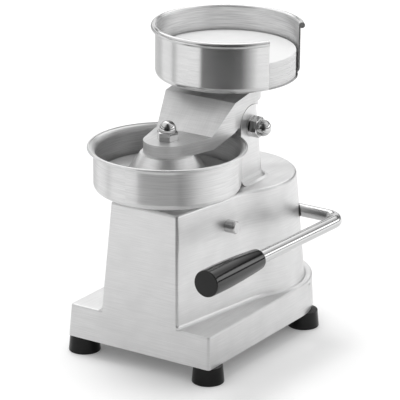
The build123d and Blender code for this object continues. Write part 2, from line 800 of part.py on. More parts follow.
def ejector_plate():
    plate = cyl_z(ejector_plate_r, ejector_plate_z, ejector_plate_z + ejector_plate_t, 0, bowl_y)
    plate = chamfer(plate.edges().group_by(Axis.Z)[0], ejector_chamfer)
    return plate - ejector_screw(thread_gap)


def ejector_stem():
    stem = cyl_z(stem_r, stem_foot_z, ejector_plate_z, 0, bowl_y)
    return stem - ejector_screw(thread_gap)


def ejector_screw(extra=0.0):
    return countersunk_screw(0, bowl_y, ejector_plate_z + ejector_plate_t, extra)


def ejector_bush():
    bush = cyl_z(stem_bush_r, deck_under_z, bowl_floor_z, 0, bowl_y)
    return bush - cyl_z(stem_r + running_gap, deck_under_z - over, bowl_floor_z + over, 0, bowl_y)


def group(solids):
    return Compound(children=list(solids))


def pieces():
    """Every piece by name; repeated fasteners share one name."""
    both = (-1, 1)
    feet = dict(zip(("front_left", "front_right", "rear_left", "rear_right"), foot_places()))
    made = {f"foot_{name}": foot(x, y) for name, (x, y) in feet.items()}
    bowl_top = bowl_floor_z + bowl_wall
    paper_top = paper_bowl_floor_z + bowl_wall
    made.update({
        "base_casting": base_casting(),
        "foot_screws": group(foot_screw(x, y) for x, y in foot_places()),
        "lower_bowl": lower_bowl(),
        "bowl_screws": group(countersunk_screw(x, y, bowl_top) for x, y in bowl_screw_places()),
        "ejector_bush": ejector_bush(),
        "shaft_bush_inner": shaft_bush(hanger_x0, hanger_x1),
        "shaft_bush_outer": shaft_bush(outer_boss_x, outer_boss_x + outer_bush_length),
        "rocker_pin": rocker_pin(),
        "rocker_washers": group(rocker_washer(sign) for sign in both),
        "hinge_bolt": hinge_bolt(),
        "hinge_washers": group(hinge_washer(sign) for sign in both),
        "hinge_cap_nut": hinge_cap_nut(),
        "press_arm": press_arm(),
        "hinge_bush_left": hinge_bush(-1),
        "hinge_bush_right": hinge_bush(1),
        "link_pivot_pin": link_pivot_pin(),
        "press_plate": press_plate(),
        "plate_stud": plate_stud(),
        "plate_cap_nut": plate_cap_nut(),
        "paper_bowl": paper_bowl(),
        "paper_bowl_screws": group(countersunk_screw(x, y, paper_top) for x, y in paper_screw_places()),
        "paper_stack": paper_stack(),
        "handle_bar": handle_bar(),
        "handle_grip": handle_grip(),
        "handle_crank": handle_crank(),
        "crank_pins": group(crank_pin(y, z) for y, z in
                            ((crank_pin_y, crank_pin_z), (eject_pin_y, eject_pin_z))),
        "crank_cross_pin": cross_pin(),
        "shaft_collar": shaft_collar(),
        "press_link": press_link(),
        "ejector_link": ejector_link(),
        "ejector_rocker": ejector_rocker(),
        "rocker_spacers": group(rocker_link_spacers(sign) for sign in both),
        "rocker_link_pin": cyl_x(link_pin_r, -rocker_half, rocker_half, rocker_link_y, rocker_link_z),
        "roller_pin": cyl_x(roller_pin_r, -rocker_half, rocker_half, roller_y, roller_z),
        "ejector_roller": ejector_roller(),
        "ejector_plate": ejector_plate(),
        "ejector_stem": ejector_stem(),
        "ejector_screw": ejector_screw(),
    })
    return made


os.makedirs("parts", exist_ok=True)
for name, shape in pieces().items():
    export_step(Pos(-centre_x, -centre_y, 0) * shape, f"parts/{name}.step")
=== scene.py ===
import json
import math

import bpy
from mathutils import Matrix, Vector


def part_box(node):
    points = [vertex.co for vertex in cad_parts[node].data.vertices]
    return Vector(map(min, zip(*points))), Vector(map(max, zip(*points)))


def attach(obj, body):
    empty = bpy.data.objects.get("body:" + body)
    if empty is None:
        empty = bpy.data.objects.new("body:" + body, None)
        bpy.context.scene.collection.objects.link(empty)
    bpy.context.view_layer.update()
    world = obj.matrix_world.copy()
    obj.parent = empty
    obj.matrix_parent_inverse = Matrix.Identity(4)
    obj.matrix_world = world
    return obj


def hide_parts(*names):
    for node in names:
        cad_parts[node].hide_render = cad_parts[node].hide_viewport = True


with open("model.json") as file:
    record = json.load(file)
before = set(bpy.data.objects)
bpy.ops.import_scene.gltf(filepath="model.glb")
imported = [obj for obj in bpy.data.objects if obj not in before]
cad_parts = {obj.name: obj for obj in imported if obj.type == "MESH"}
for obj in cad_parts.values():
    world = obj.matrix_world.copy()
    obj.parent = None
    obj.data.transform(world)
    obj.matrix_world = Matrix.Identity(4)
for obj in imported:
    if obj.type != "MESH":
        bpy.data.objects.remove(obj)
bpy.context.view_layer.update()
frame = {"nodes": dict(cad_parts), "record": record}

nodes = frame["nodes"]
scene = bpy.context.scene
scene.view_settings.view_transform = "Standard"
bpy.ops.object.select_all(action="DESELECT")


def hexColour(text):
    # sRGB hex to the linear values that Blender's sockets take
    parts = [int(text[i : i + 2], 16) / 255 for i in (1, 3, 5)]
    return [p / 12.92 if p <= 0.04045 else ((p + 0.055) / 1.055) ** 2.4 for p in parts] + [1.0]


def addNode(tree, kind, settings=None, links=None):
    # settings are sockets by name or number, or else the node's own properties
    node = tree.nodes.new(kind)
    for name, value in (settings or {}).items():
        if isinstance(name, str) and name not in node.inputs:
            setattr(node, name, value)
    for name, value in (settings or {}).items():
        if not isinstance(name, str) or name in node.inputs:
            node.inputs[name].default_value = value
    for name, source in (links or {}).items():
        tree.links.new(source, node.inputs[name])
    return node


print("camera")

camera = {
    "place": (1.2855, -2.00005, 0.9595),  # fitted with the angles to the outlines in the photograph
    "tilt": 70.9635,  # degrees up from straight down
    "roll": 0.473,
    "yaw": 32.964,
    "sensor": 36.0,
    "lens": 246.67,  # mm
    "clip": (0.05, 50),
}
lens = bpy.data.cameras.new("studioCamera")
lens.sensor_width = camera["sensor"]
lens.lens = camera["lens"]
lens.clip_start, lens.clip_end = camera["clip"]
cameraObject = bpy.data.objects.new("studioCamera", lens)
scene.collection.objects.link(cameraObject)
turn = Matrix.Rotation(math.radians(camera["yaw"]), 4, "Z")
turn = turn @ Matrix.Rotation(math.radians(camera["tilt"]), 4, "X")
turn = turn @ Matrix.Rotation(math.radians(camera["roll"]), 4, "Z")
cameraObject.matrix_world = Matrix.Translation(camera["place"]) @ turn
scene.camera = cameraObject


print("light and floor")

studio = {
    "yaw": camera["yaw"],  # the dark side of the room is where the photograph was taken from
    # each tone of the room stands at some degrees round from there, to the right where positive
    "wall": [(-180, "#FFFFFF"), (-124, "#FFFFFF"), (-112, "#D8D8D8"), (-100, "#FFFFFF"), (-52, "#E4E4E4"),
             (-43, "#505050"), (0, "#2C2C2C"), (22, "#484848"), (36, "#A8A8A8"), (50, "#F4F4F4"),
             (120, "#FFFFFF"), (134, "#A0A0A0"), (152, "#909090"), (168, "#FFFFFF"), (180, "#FFFFFF")],
    "ceiling": [(-180, "#FFFFFF"), (-110, "#FFFFFF"), (-60, "#F0F0F0"), (-34, "#909090"), (-12, "#484848"),
                (20, "#484848"), (50, "#B0B0B0"), (90, "#F4F4F4"), (180, "#FFFFFF")],
    # the floor and paper tones are painted reflection: light and shade that metal sees on the floor, which
    # the camera sees white
    "floor": [(-180, "#C8C8C8"), (-134, "#C8C8C8"), (-122, "#F0F0F0"), (-103, "#F0F0F0"), (-96, "#B8B8B8"),
              (-86, "#F4F4F4"), (-46, "#F8F8F8"), (-42, "#6A6A6A"), (-12, "#363636"), (4, "#242424"),
              (22, "#505050"), (36, "#B8B8B8"), (50, "#F8F8F8"), (150, "#FFFFFF"), (180, "#C8C8C8")],
    "paper": [(-180, "#E8E8E8"), (-90, "#D6D6D6"), (40, "#CCCCCC"), (75, "#E8E8E8"), (150, "#E8E8E8"),
              (180, "#E8E8E8")],  # the floor close to the press, as the metal sees it
    "floorNear": 0.33,  # metres from the press: paper as far as this, then the floor's own tones
    "floorFar": 0.62,
    # heights in the room are the upward part of a direction of length 1
    "skirting": "#262626",  # dark line where the walls meet the floor
    "skirtingTop": 0.13,
    "rail": "#4A4A4A",  # dark gap between the walls and the ceiling
    "railHeights": (0.33, 0.36, 0.42, 0.46),
    "ceilingFrom": 0.42,
    "ceilingFull": 0.68,
    # two soft boxes add their power between the middle two sides and heights, and fade out by the outer two
    "backLamp": {"power": 0.9, "sides": (128, 152, 540, 560), "heights": (0.45, 0.52, 1.5, 1.6)},
    "rightLamp": {"power": 1.1, "sides": (72, 84, 126, 134), "heights": (0.02, 0.06, 0.33, 0.36)},
    "ambient": 0.77,  # what lights dull surfaces, the same from all sides
    "floorSize": 12.0,
    "floorColour": "#F6F6F6",
    "floorLift": 0.11,  # a glow that brings the lit floor up to white
    "sunStrength": 1.1,
    "sunFrom": (-0.2, 0.15, 1.0),
    "sunAngle": 26.0,
}


def compass(tree, direction):
    # the angle of a vector round from the dark side of the room, in radians, and its height
    turned = addNode(tree, "ShaderNodeVectorRotate",
                     {"rotation_type": "Z_AXIS", "Angle": -math.radians(studio["yaw"])},
                     {"Vector": direction})
    parts = addNode(tree, "ShaderNodeSeparateXYZ", links={0: turned.outputs[0]})
    flipped = addNode(tree, "ShaderNodeMath", {"operation": "MULTIPLY", 1: -1.0}, {0: parts.outputs["Y"]})
    angle = addNode(tree, "ShaderNodeMath", {"operation": "ARCTAN2"},
                    {0: parts.outputs["X"], 1: flipped.outputs[0]})
    return angle.outputs[0], parts.outputs["Z"]


def toneRamp(tree, angle, stops):
    share = addNode(tree, "ShaderNodeMapRange", {"From Min": -math.pi, "From Max": math.pi}, {"Value": angle})
    ramp = addNode(tree, "ShaderNodeValToRGB", links={0: share.outputs[0]})
    made = ramp.color_ramp.elements
    while len(made) > 1:
        made.remove(made[-1])
    made[0].position, made[0].color = 0.0, hexColour(stops[0][1])
    for degrees, colour in stops[1:]:
        made.new((degrees + 180) / 360).color = hexColour(colour)
    return ramp.outputs["Color"]


def between(tree, value, stops):
    # one inside the middle two stops, nothing outside the outer two
    start, full, lower, end = stops
    rise = addNode(tree, "ShaderNodeMapRange", {"From Min": start, "From Max": full}, {"Value": value})
    fall = addNode(tree, "ShaderNodeMapRange", {"From Min": end, "From Max": lower}, {"Value": value})
    both = addNode(tree, "ShaderNodeMath", {"operation": "MULTIPLY"},
                   {0: rise.outputs[0], 1: fall.outputs[0]})
    return both.outputs[0]


def paintRoom(tree, angle, height):
    # walls, ceiling above them, dark skirting below and a dark rail between
    wall = toneRamp(tree, angle, studio["wall"])
    ceiling = toneRamp(tree, angle, studio["ceiling"])
    overhead = addNode(tree, "ShaderNodeMapRange",
                       {"From Min": studio["ceilingFrom"], "From Max": studio["ceilingFull"]},
                       {"Value": height})
    room = addNode(tree, "ShaderNodeMix", {"data_type": "RGBA"},
                   {0: overhead.outputs[0], 6: wall, 7: ceiling})
    strip = addNode(tree, "ShaderNodeMapRange",
                    {"From Min": studio["skirtingTop"], "From Max": studio["skirtingTop"] / 2},
                    {"Value": height})
    room = addNode(tree, "ShaderNodeMix", {"data_type": "RGBA", 7: hexColour(studio["skirting"])},
                   {0: strip.outputs[0], 6: room.outputs[2]})
    gap = between(tree, height, studio["railHeights"])
    room = addNode(tree, "ShaderNodeMix", {"data_type": "RGBA", 7: hexColour(studio["rail"])},
                   {0: gap, 6: room.outputs[2]})
    return room.outputs[2]


def lampPower(tree, lamp, direction, height):
    sides = between(tree, direction, [math.radians(side) for side in lamp["sides"]])
    heights = between(tree, height, lamp["heights"])
    shape = addNode(tree, "ShaderNodeMath", {"operation": "MULTIPLY"}, {0: sides, 1: heights})
    power = addNode(tree, "ShaderNodeMath", {"operation": "MULTIPLY", 1: lamp["power"]},
                    {0: shape.outputs[0]})
    return power.outputs[0]


# metal sees the painted room, dull surfaces an even grey, and the camera white
world = bpy.data.worlds.new("whiteStudio")
scene.world = world
world.use_nodes = True
tree = world.node_tree
tree.nodes.clear()
angle, height = compass(tree, addNode(tree, "ShaderNodeTexCoord").outputs["Generated"])
room = paintRoom(tree, angle, height)
path = addNode(tree, "ShaderNodeLightPath")
turnedAway = addNode(tree, "ShaderNodeMath", {"operation": "ABSOLUTE"}, {0: angle}).outputs[0]
lamps = addNode(tree, "ShaderNodeMath", {"operation": "ADD"},
                {0: lampPower(tree, studio["backLamp"], turnedAway, height),
                 1: lampPower(tree, studio["rightLamp"], angle, height)})
strength = addNode(tree, "ShaderNodeMath", {"operation": "MULTIPLY_ADD", 2: 1.0},
                   {0: lamps.outputs[0], 1: path.outputs["Is Glossy Ray"]})
ambient = addNode(tree, "ShaderNodeMix", {"data_type": "RGBA", 6: [studio["ambient"]] * 3 + [1]},
                  {0: path.outputs["Is Glossy Ray"], 7: room})
seen = addNode(tree, "ShaderNodeMix", {"data_type": "RGBA", 7: hexColour("#FFFFFF")},
               {0: path.outputs["Is Camera Ray"], 6: ambient.outputs[2]})
backdrop = addNode(tree, "ShaderNodeBackground",
                   links={"Color": seen.outputs[2], "Strength": strength.outputs[0]})
addNode(tree, "ShaderNodeOutputWorld", links={"Surface": backdrop.outputs[0]})

# a white floor that keeps the shadow; to metal it shows painted reflection, the light and shade of the
# painted room
bpy.ops.mesh.primitive_plane_add(size=studio["floorSize"], location=(0, 0, 0))
floor = bpy.context.object
floor.name = "floor"
paint = bpy.data.materials.new("paintedFloor")
paint.use_nodes = True
tree = paint.node_tree
tree.nodes.clear()
coords = addNode(tree, "ShaderNodeTexCoord").outputs["Object"]
angle = compass(tree, coords)[0]
distance = addNode(tree, "ShaderNodeVectorMath", {"operation": "LENGTH"}, {0: coords})
away = addNode(tree, "ShaderNodeMapRange", {"From Min": studio["floorNear"], "From Max": studio["floorFar"]},
               {"Value": distance.outputs["Value"]})
# painted reflection of the room's light and shade, shown on the floor to glossy rays only
around = addNode(tree, "ShaderNodeMix", {"data_type": "RGBA"},
                 {0: away.outputs[0], 6: toneRamp(tree, angle, studio["paper"]),
                  7: toneRamp(tree, angle, studio["floor"])})
path = addNode(tree, "ShaderNodeLightPath")
shown = addNode(tree, "ShaderNodeMix", {"data_type": "RGBA", 6: hexColour(studio["floorColour"])},
                {0: path.outputs["Is Glossy Ray"], 7: around.outputs[2]})
matt = addNode(tree, "ShaderNodeBsdfDiffuse", links={"Color": shown.outputs[2]})
seenDirect = addNode(tree, "ShaderNodeMath", {"operation": "MAXIMUM"},
                     {0: path.outputs["Is Camera Ray"], 1: path.outputs["Is Glossy Ray"]})
liftStrength = addNode(tree, "ShaderNodeMath", {"operation": "MULTIPLY", 1: studio["floorLift"]},
                       {0: seenDirect.outputs[0]})
lift = addNode(tree, "ShaderNodeEmission",
               links={"Color": shown.outputs[2], "Strength": liftStrength.outputs[0]})
both = addNode(tree, "ShaderNodeAddShader", links={0: matt.outputs[0], 1: lift.outputs[0]})
addNode(tree, "ShaderNodeOutputMaterial", links={"Surface": both.outputs[0]})
floor.data.materials.append(paint)

sun = bpy.data.lights.new("softSun", "SUN")
sun.energy = studio["sunStrength"]
sun.angle = math.radians(studio["sunAngle"])
sunObject = bpy.data.objects.new("softSun", sun)
scene.collection.objects.link(sunObject)
sunObject.visible_glossy = False  # the metal mirrors the painted room only
sunObject.matrix_world = Vector(studio["sunFrom"]).to_track_quat("Z", "Y").to_matrix().to_4x4()


print("materials")


def newMaterial(name):
    made = bpy.data.materials.new(name)
    made.use_nodes = True
    made.node_tree.nodes.clear()
    return made, made.node_tree


def closeMaterial(tree, settings, links):
    surface = addNode(tree, "ShaderNodeBsdfPrincipled", settings, links)
    addNode(tree, "ShaderNodeOutputMaterial", links={"Surface": surface.outputs[0]})


def axisOf(node):
    low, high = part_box(node)
    return ((low.x + high.x) / 2, (low.y + high.y) / 2)


def groundCasting(name, look):
    # gravity-cast aluminium, ground with a flap wheel: satin, with fine lines and soft grey patches
    made, tree = newMaterial(name)
    coords = addNode(tree, "ShaderNodeTexCoord")
    fine, long = 1000 / look["lineMm"], 1000 / look["lineLongMm"]
    lines = []
    for stretch in ((long, long, fine), (fine, long, long)):
        # level lines on the sides, then lines from front to back on the decks
        stretched = addNode(tree, "ShaderNodeVectorMath", {"operation": "MULTIPLY", 1: stretch},
                            {0: coords.outputs["Object"]})
        noise = addNode(tree, "ShaderNodeTexNoise", {"Scale": 1.0, "Detail": look["lineDetail"]},
                        {"Vector": stretched.outputs[0]})
        lines.append(noise.outputs[0])
    facing = addNode(tree, "ShaderNodeSeparateXYZ", links={0: coords.outputs["Normal"]})
    upward = addNode(tree, "ShaderNodeMath", {"operation": "ABSOLUTE"}, {0: facing.outputs["Z"]})
    isDeck = addNode(tree, "ShaderNodeMapRange",
                     {"From Min": look["deckFrom"], "From Max": look["deckFull"]},
                     {"Value": upward.outputs[0]})
    ground = addNode(tree, "ShaderNodeMix", {"data_type": "FLOAT"},
                     {0: isDeck.outputs[0], 2: lines[0], 3: lines[1]})
    patches = addNode(tree, "ShaderNodeTexNoise",
                      {"Scale": 1000 / look["patchMm"], "Detail": look["patchDetail"]},
                      {"Vector": coords.outputs["Object"]})
    tone = addNode(tree, "ShaderNodeMath", {"operation": "MULTIPLY"},
                   {0: patches.outputs[0], 1: ground.outputs[0]})
    spread = addNode(tree, "ShaderNodeMapRange",
                     {"From Min": look["toneFrom"], "From Max": look["toneFull"]},
                     {"Value": tone.outputs[0]})
    colour = addNode(tree, "ShaderNodeMix",
                     {"data_type": "RGBA", 6: hexColour(look["dark"]), 7: hexColour(look["pale"])},
                     {0: spread.outputs[0]})
    least, most = look["rough"] - look["roughLess"], look["rough"] + look["roughMore"]
    rough = addNode(tree, "ShaderNodeMapRange", {"To Min": least, "To Max": most},
                    {"Value": patches.outputs[0]})
    bump = addNode(tree, "ShaderNodeBump", {"Strength": look["bump"], "Distance": look["lineDepth"]},
                   {"Height": ground.outputs[0]})
    closeMaterial(tree, {"Metallic": look["metallic"]},
                  {"Base Color": colour.outputs[2], "Roughness": rough.outputs[0], "Normal": bump.outputs[0]})
    return made


def spunMetal(name, look):
    # spun or turned on a lathe: fine lines round an upright axis draw highlights out into upright bands
    made, tree = newMaterial(name)
    coords = addNode(tree, "ShaderNodeTexCoord")
    centred = addNode(tree, "ShaderNodeVectorMath", {"operation": "SUBTRACT", 1: (*look["centre"], 0)},
                      {0: coords.outputs["Object"]})
    parts = addNode(tree, "ShaderNodeSeparateXYZ", links={0: centred.outputs[0]})
    flat = addNode(tree, "ShaderNodeCombineXYZ", links={0: parts.outputs["X"], 1: parts.outputs["Y"]})
    radius = addNode(tree, "ShaderNodeVectorMath", {"operation": "LENGTH"}, {0: flat.outputs[0]})
    angle = addNode(tree, "ShaderNodeMath", {"operation": "ARCTAN2"},
                    {0: parts.outputs["X"], 1: parts.outputs["Y"]})
    slow = addNode(tree, "ShaderNodeMath",
                   {"operation": "MULTIPLY", 1: look["cellsPerRadian"] * look["lineMm"] / 1000},
                   {0: angle.outputs[0]})
    ring = addNode(tree, "ShaderNodeCombineXYZ",
                   links={0: radius.outputs["Value"], 1: slow.outputs[0], 2: parts.outputs["Z"]})
    lines = addNode(tree, "ShaderNodeTexNoise",
                    {"Scale": 1000 / look["lineMm"], "Detail": look["lineDetail"]},
                    {"Vector": ring.outputs[0]})
    patches = addNode(tree, "ShaderNodeTexNoise",
                      {"Scale": 1000 / look["patchMm"], "Detail": look["patchDetail"]},
                      {"Vector": coords.outputs["Object"]})
    contrast = addNode(tree, "ShaderNodeMapRange",
                       {"From Min": look["toneFrom"], "From Max": look["toneFull"]},
                       {"Value": lines.outputs[0]})
    # the outside's tones, then painted light and shade for faces that look to the axis, on the same metal
    tones = []
    for dark, pale in (("dark", "pale"), ("insideShadingDark", "insideShadingPale")):
        tone = addNode(tree, "ShaderNodeMix",
                       {"data_type": "RGBA", 6: hexColour(look[dark]), 7: hexColour(look[pale])},
                       {0: contrast.outputs[0]})
        tones.append(tone.outputs[2])
    outward = addNode(tree, "ShaderNodeVectorMath", {"operation": "NORMALIZE"}, {0: flat.outputs[0]})
    facing = addNode(tree, "ShaderNodeVectorMath", {"operation": "DOT_PRODUCT"},
                     {0: outward.outputs[0], 1: coords.outputs["Normal"]})
    isInside = addNode(tree, "ShaderNodeMapRange",
                       {"From Min": look["insideFrom"], "From Max": look["insideFull"]},
                       {"Value": facing.outputs["Value"]})
    colour = addNode(tree, "ShaderNodeMix", {"data_type": "RGBA"},
                     {0: isInside.outputs[0], 6: tones[0], 7: tones[1]})
    duller = addNode(tree, "ShaderNodeMath", {"operation": "MULTIPLY", 1: look["insideRough"]},
                     {0: isInside.outputs[0]})
    least, most = look["rough"] - look["roughLess"], look["rough"] + look["roughMore"]
    patchy = addNode(tree, "ShaderNodeMapRange", {"To Min": least, "To Max": most},
                     {"Value": patches.outputs[0]})
    rough = addNode(tree, "ShaderNodeMath", {"operation": "ADD"},
                    {0: patchy.outputs[0], 1: duller.outputs[0]})
    bump = addNode(tree, "ShaderNodeBump", {"Strength": look["bump"], "Distance": look["lineDepth"]},
                   {"Height": lines.outputs[0]})
    tangent = addNode(tree, "ShaderNodeTangent", {"direction_type": "RADIAL", "axis": "Z"})
    metallic = addNode(tree, "ShaderNodeMapRange",
                       {"To Min": look["metallic"], "To Max": look["insideMetallic"]},
                       {"Value": isInside.outputs[0]})
    closeMaterial(tree, {"Anisotropic": look["stretch"], "Anisotropic Rotation": look["turn"]},
                  {"Base Color": colour.outputs[2], "Metallic": metallic.outputs[0],
                   "Roughness": rough.outputs[0], "Normal": bump.outputs[0], "Tangent": tangent.outputs[0]})
    return made


def plainMetal(name, look):
    # polished, plated or machined all over: even tone, with faint scuffs that break the gloss
    made, tree = newMaterial(name)
    coords = addNode(tree, "ShaderNodeTexCoord").outputs["Object"]
    stretched = addNode(tree, "ShaderNodeVectorMath",
                        {"operation": "MULTIPLY", 1: [1000 / size for size in look["grainMm"]]}, {0: coords})
    grain = addNode(tree, "ShaderNodeTexNoise", {"Scale": 1.0, "Detail": look["detail"]},
                    {"Vector": stretched.outputs[0]})
    colour = addNode(tree, "ShaderNodeMix",
                     {"data_type": "RGBA", 6: hexColour(look["dark"]), 7: hexColour(look["pale"])},
                     {0: grain.outputs[0]})
    least, most = look["rough"] * look["least"], look["rough"] * look["most"]
    rough = addNode(tree, "ShaderNodeMapRange", {"To Min": least, "To Max": most},
                    {"Value": grain.outputs[0]})
    bump = addNode(tree, "ShaderNodeBump", {"Strength": look["bump"], "Distance": look["depth"]},
                   {"Height": grain.outputs[0]})
    closeMaterial(tree, {"Metallic": 1.0},
                  {"Base Color": colour.outputs[2], "Roughness": rough.outputs[0], "Normal": bump.outputs[0]})
    return made


def blackMatter(name, look):
    # moulded rubber or phenolic: near black and glossy, with a fine grain
    made, tree = newMaterial(name)
    coords = addNode(tree, "ShaderNodeTexCoord")
    grain = addNode(tree, "ShaderNodeTexNoise", {"Scale": 1000 / look["grainMm"], "Detail": look["detail"]},
                    {"Vector": coords.outputs["Object"]})
    colour = addNode(tree, "ShaderNodeMix",
                     {"data_type": "RGBA", 6: hexColour(look["dark"]), 7: hexColour(look["pale"])},
                     {0: grain.outputs[0]})
    least, most = look["rough"] - look["roughLess"], look["rough"] + look["roughMore"]
    glossy = addNode(tree, "ShaderNodeMapRange", {"To Min": least, "To Max": most},
                     {"Value": grain.outputs[0]})
    facing = addNode(tree, "ShaderNodeSeparateXYZ", links={0: coords.outputs["Normal"]})
    sawnEnd = addNode(tree, "ShaderNodeMapRange",
                      {"From Min": look["endFrom"], "From Max": look["endFull"], "To Max": look["endRough"]},
                      {"Value": facing.outputs["Y"]})
    rough = addNode(tree, "ShaderNodeMath", {"operation": "ADD"},
                    {0: glossy.outputs[0], 1: sawnEnd.outputs[0]})
    bump = addNode(tree, "ShaderNodeBump", {"Strength": look["bump"], "Distance": look["depth"]},
                   {"Height": grain.outputs[0]})
    closeMaterial(tree, {"IOR": look["ior"]},
                  {"Base Color": colour.outputs[2], "Roughness": rough.outputs[0], "Normal": bump.outputs[0]})
    return made


def paperEdges(name, look):
    # waxed paper discs: white, with thin edges that read as level lines
    made, tree = newMaterial(name)
    coords = addNode(tree, "ShaderNodeTexCoord").outputs["Object"]
    stretched = addNode(tree, "ShaderNodeVectorMath",
                        {"operation": "MULTIPLY", 1: [1000 / size for size in look["edgeMm"]]}, {0: coords})
    edges = addNode(tree, "ShaderNodeTexNoise", {"Scale": 1.0, "Detail": look["detail"]},
                    {"Vector": stretched.outputs[0]})
    colour = addNode(tree, "ShaderNodeMix",
                     {"data_type": "RGBA", 6: hexColour(look["dark"]), 7: hexColour(look["pale"])},
                     {0: edges.outputs[0]})
    bump = addNode(tree, "ShaderNodeBump", {"Strength": look["bump"], "Distance": look["depth"]},
                   {"Height": edges.outputs[0]})
    closeMaterial(tree, {"Roughness": look["rough"], "IOR": look["ior"]},
                  {"Base Color": colour.outputs[2], "Normal": bump.outputs[0]})
    return made


# real grinding and spinning lines are about a tenth as wide: here they are as coarse as they need to show
castSkin = {"pale": "#EAEAEA", "dark": "#DADADA", "toneFrom": 0.1, "toneFull": 0.42, "lineMm": 0.7,
            "lineLongMm": 28.6, "lineDetail": 3.0, "lineDepth": 0.00001, "bump": 0.5, "patchMm": 26,
            "patchDetail": 2.0, "rough": 0.36, "roughLess": 0.06, "roughMore": 0.06, "metallic": 0.85,
            "deckFrom": 0.6, "deckFull": 0.8}  # a face that looks up, from side to deck
armSkin = {**castSkin, "dark": "#CECECE", "rough": 0.4, "metallic": 0.72}

spunSkin = {"pale": "#EAEAEA", "dark": "#DEDEDE", "toneFrom": 0.3, "toneFull": 0.7, "lineMm": 0.6,
            "cellsPerRadian": 2.5, "lineDetail": 3.0, "lineDepth": 0.000008, "bump": 0.4, "patchMm": 30,
            "patchDetail": 2.0, "roughLess": 0.05, "roughMore": 0.06, "turn": 0.25, "metallic": 0.8,
            # the inside colours are painted light and shade of the hollow: darker tones for the shade inside,
            # and in the bowls a paler top tone where light reaches in
            "insideFrom": -0.3, "insideFull": -0.7,  # a face that looks to the axis, from hardly to fully
            "insideShadingPale": "#E6E6E6", "insideShadingDark": "#C6C6C6", "insideRough": 0.08, "insideMetallic": 0.85}
lowerSkin = {**spunSkin, "centre": axisOf("lower_bowl"), "rough": 0.34, "stretch": 0.9, "pale": "#F0F0F0",
             "dark": "#DCDCDC", "insideShadingPale": "#F2F2F2", "insideShadingDark": "#D6D6D6"}
upperSkin = {**spunSkin, "centre": axisOf("paper_stack"), "rough": 0.2, "stretch": 0.85, "pale": "#E0E0E0",
             "dark": "#D0D0D0", "metallic": 0.94, "insideShadingPale": "#F4F4F4", "insideShadingDark": "#CCCCCC",
             "insideRough": 0.15, "insideMetallic": 0.74}
turnedSkin = {**spunSkin, "centre": axisOf("press_plate"), "rough": 0.34, "stretch": 0.5,
              "insideShadingPale": "#E0E0E0", "insideShadingDark": "#D0D0D0"}

plainSkin = {"detail": 3.0, "least": 0.8, "most": 1.25, "bump": 0.25}
barSkin = {**plainSkin, "pale": "#D8D8D8", "dark": "#C8C8C8", "rough": 0.14, "grainMm": (16.7, 16.7, 1.11),
           "depth": 0.000003}
nutSkin = {**plainSkin, "pale": "#D4D4D4", "dark": "#C6C6C6", "rough": 0.04, "grainMm": (2.5, 2.5, 2.5),
           "depth": 0.00001}
steelSkin = {**plainSkin, "pale": "#C4C4C4", "dark": "#B4B4B4", "rough": 0.12, "grainMm": (1.11, 1.11, 1.11),
             "depth": 0.000004}
bronzeSkin = {**plainSkin, "pale": "#C8A46A", "dark": "#A8854F", "rough": 0.45, "grainMm": (0.67, 0.67, 0.67),
              "depth": 0.00002}

blackSkin = {"detail": 4.0, "roughLess": 0.06, "roughMore": 0.08, "depth": 0.00004,
             "endFrom": -0.9, "endFull": -0.97}  # a face that looks to the front, from hardly to fully
rubberSkin = {**blackSkin, "pale": "#080808", "dark": "#020202", "rough": 0.16, "bump": 0.15, "grainMm": 0.8,
              "ior": 1.38, "endRough": 0.0}
gripSkin = {**blackSkin, "pale": "#181818", "dark": "#020202", "rough": 0.1, "bump": 0.12, "grainMm": 2.2,
            "ior": 1.55, "endRough": 0.4}  # its front end is sawn and dull

paperSkin = {"pale": "#F6F6F6", "dark": "#E8E8E8", "edgeMm": (50, 50, 1.11), "detail": 4.0, "bump": 0.4,
             "depth": 0.0001, "rough": 0.6, "ior": 1.45}

materials = {
    "cast_aluminium": groundCasting("satinCastAluminium", castSkin),
    "turned_aluminium": spunMetal("turnedAluminium", turnedSkin),
    "brushed_stainless": spunMetal("spunStainlessLower", lowerSkin),
    "polished_stainless": plainMetal("polishedStainlessBar", barSkin),
    "bright_nuts": plainMetal("brightPlatedNut", nutSkin),
    "turned_steel": plainMetal("turnedSteel", steelSkin),
    "bronze_bush": plainMetal("sinteredBronze", bronzeSkin),
    "black_rubber": blackMatter("mouldedRubber", rubberSkin),
    "black_grip": blackMatter("polishedPhenolic", gripSkin),
    "waxed_paper": paperEdges("waxedPaper", paperSkin),
}
upperSteel = spunMetal("spunStainlessUpper", upperSkin)  # polished more than the lower bowl
armCasting = groundCasting("satinCastArm", armSkin)  # a duller casting than the base
for node in nodes.values():
    node.data.materials[0] = materials[node.data.materials[0].name]


print("pieces")

bodyOf = {node: body for body, names in frame["record"]["behaviour"]["bodies"].items() for node in names}
upright = Vector((0, 0, 1))
rightward = Vector((1, 0, 0))
weld = 0.000005  # metres within which two vertices of a new piece are one


def dress(piece, node, look):
    piece.data.materials.clear()
    piece.data.materials.append(look)
    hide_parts(node)
    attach(piece, bodyOf[node])


def arc(centre, radius, start, end, steps):
    angles = [math.radians(start + (end - start) * i / steps) for i in range(steps + 1)]
    return [(centre[0] + radius * math.cos(a), centre[1] + radius * math.sin(a)) for a in angles]


def only(piece):
    bpy.ops.object.select_all(action="DESELECT")
    bpy.context.view_layer.objects.active = piece
    piece.select_set(True)


def applied(piece, kind, **settings):
    only(piece)
    modifier = piece.modifiers.new("finish", kind)
    for name, value in settings.items():
        setattr(modifier, name, value)
    bpy.ops.object.modifier_apply(modifier=modifier.name)
    return piece


def edited(piece, *steps):
    # each step is an operator and its settings, run on the whole mesh
    only(piece)
    bpy.ops.object.mode_set(mode="EDIT")
    for step, settings in steps:
        bpy.ops.mesh.select_all(action="SELECT")
        step(**settings)
    bpy.ops.object.mode_set(mode="OBJECT")
    return piece


